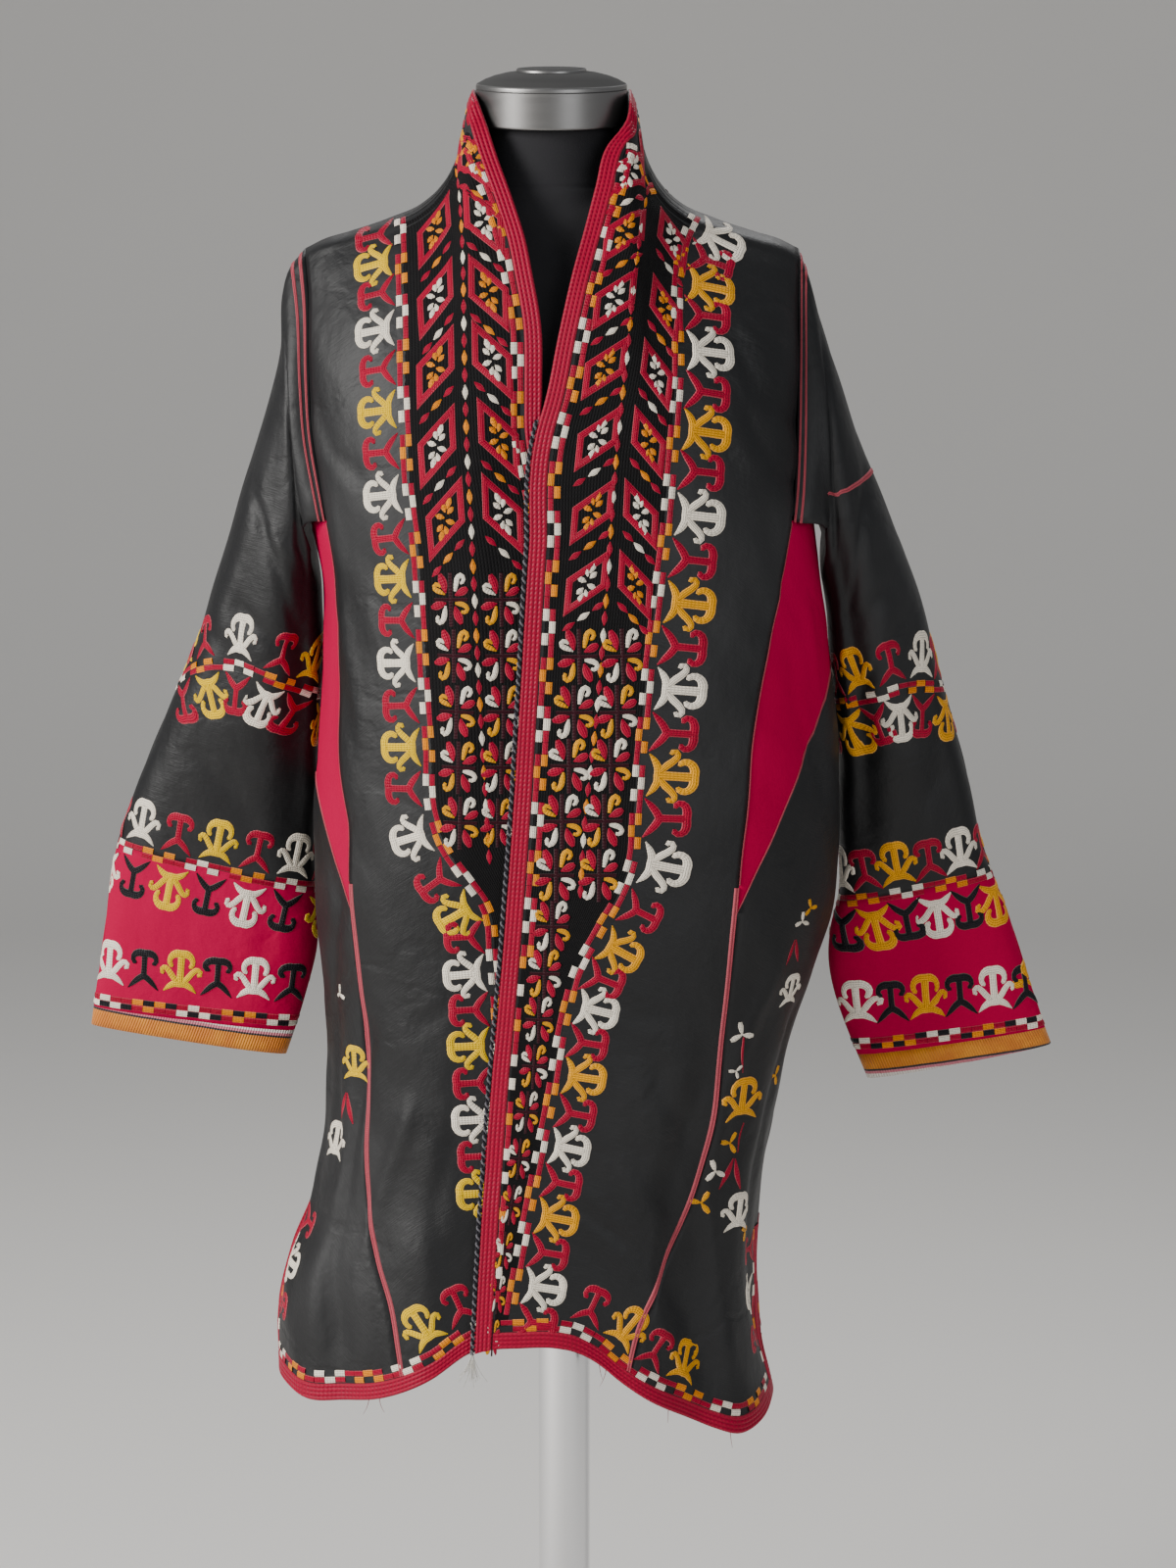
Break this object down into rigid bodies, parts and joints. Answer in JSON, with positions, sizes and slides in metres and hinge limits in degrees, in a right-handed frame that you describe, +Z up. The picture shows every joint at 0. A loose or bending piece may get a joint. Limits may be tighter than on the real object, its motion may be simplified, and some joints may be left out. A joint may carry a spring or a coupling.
{
  "type": "uzbek chapan robe on dress form",
  "caption": "Open-fronted black silk robe with stand collar, wide sleeves, side gores and embroidered borders, hanging on a limbless dress form with pole and base.",
  "frame": {"origin": "middle of the base plate's underside, on the pole's axis", "axes": "+Z up; +X to the onlooker's right, which is the wearer's left; the robe's front faces -Y"},
  "size_m": [0.7931, 0.37, 1.5185],
  "materials": {
    "black_silk": "woven silk with a soft sheen, under dense chain stitch",
    "crimson_silk": "woven silk",
    "pink_tape": "narrow woven tape",
    "braid": "loop braid of rows of chain stitch",
    "orange_trim": "ribbed braid",
    "cord": "twisted cord",
    "form_cloth": "matt knitted cover",
    "satin_metal": "satin",
    "chrome": "polished"
  },
  "bodies": {
    "root": {"armhole_tape_left": "pink_tape", "armhole_tape_right": "pink_tape", "back": "black_silk", "collar": "black_silk", "cuff_left": "crimson_silk", "cuff_right": "crimson_silk", "cuff_trim_left": "orange_trim", "cuff_trim_right": "orange_trim", "edge_braid": "braid", "edge_cord": "cord", "form_base": "satin_metal", "form_neck_cap": "satin_metal", "form_pole": "chrome", "form_torso": "form_cloth", "front_left": "black_silk", "front_right": "black_silk", "gore_back_left": "black_silk", "gore_back_right": "black_silk", "gore_front_left": "black_silk", "gore_front_right": "black_silk", "gusset_left": "crimson_silk", "gusset_right": "crimson_silk", "hem_braid_back": "braid", "hem_braid_front_left": "braid", "hem_braid_front_right": "braid", "seam_tape_left": "pink_tape", "seam_tape_right": "pink_tape", "sleeve_left": "black_silk", "sleeve_right": "black_silk"}
  },
  "joints": []
}
